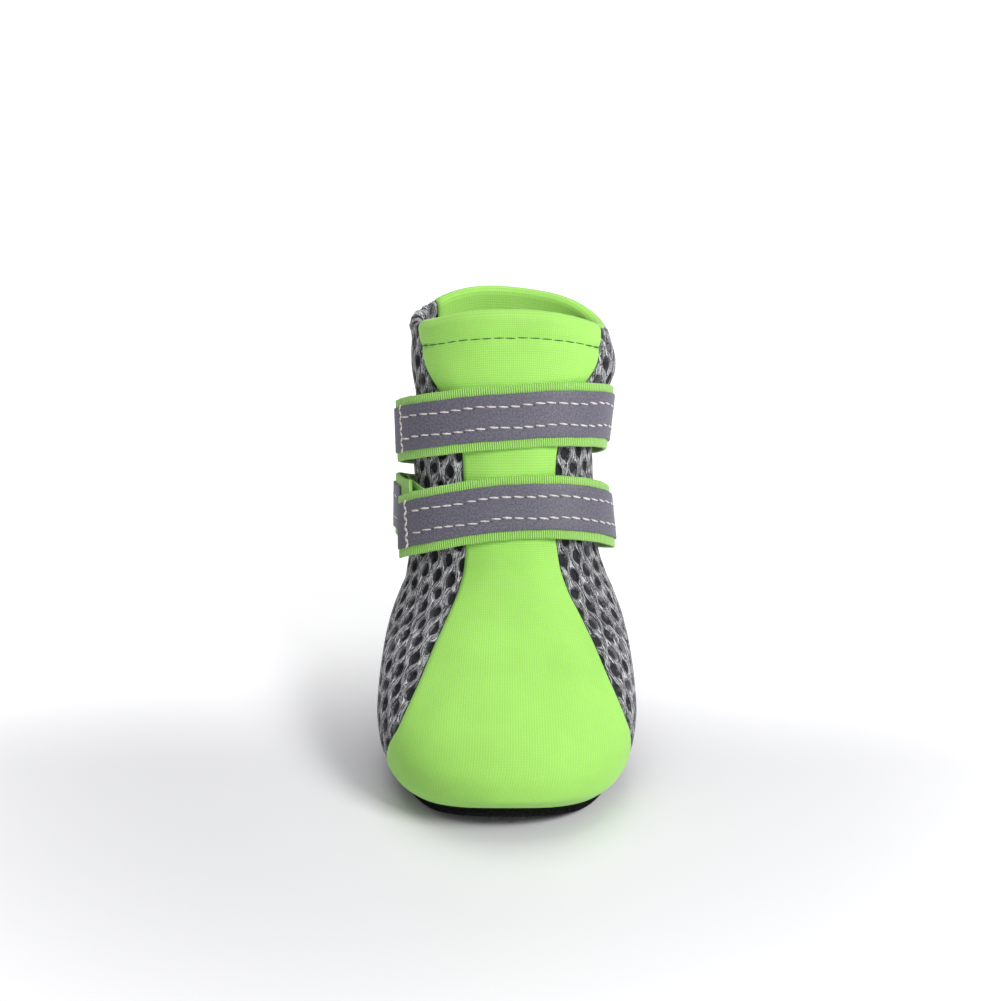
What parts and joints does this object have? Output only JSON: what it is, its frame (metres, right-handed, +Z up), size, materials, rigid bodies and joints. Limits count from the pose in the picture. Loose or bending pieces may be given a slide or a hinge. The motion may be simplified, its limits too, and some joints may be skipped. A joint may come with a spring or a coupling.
{
  "type": "dog boot",
  "caption": "Soft slip-on paw boot with a round toe, spacer-mesh sides, a stretch front panel, two hook-and-loop straps and a thin dotted non-slip sole.",
  "frame": {"origin": "on the floor, under the middle of the boot's length and width", "axes": "+Z up, -Y towards the toe, +X towards the dog's left"},
  "size_m": [0.0652, 0.1101, 0.1046],
  "materials": {
    "sole": "matt black non-slip fabric with moulded rubber dots",
    "lining": "plain dark grey lining cloth",
    "mesh": "heather grey spacer mesh with open oval holes over a dark backing",
    "panel": "fine-knit bright green stretch neoprene",
    "webbing": "green ribbed grosgrain webbing",
    "tape": "grey-violet glass-bead reflective tape with cream stitching",
    "pile": "dark green fuzzy loop pile"
  },
  "bodies": {
    "root": {"outsole": "sole", "insole": "lining", "upper": "mesh", "front_panel": "panel", "lower_strap_webbing": "webbing", "lower_strap_tape": "tape", "lower_strap_pile": "pile", "upper_strap_webbing": "webbing", "upper_strap_tape": "tape", "upper_strap_pile": "pile"}
  },
  "joints": []
}
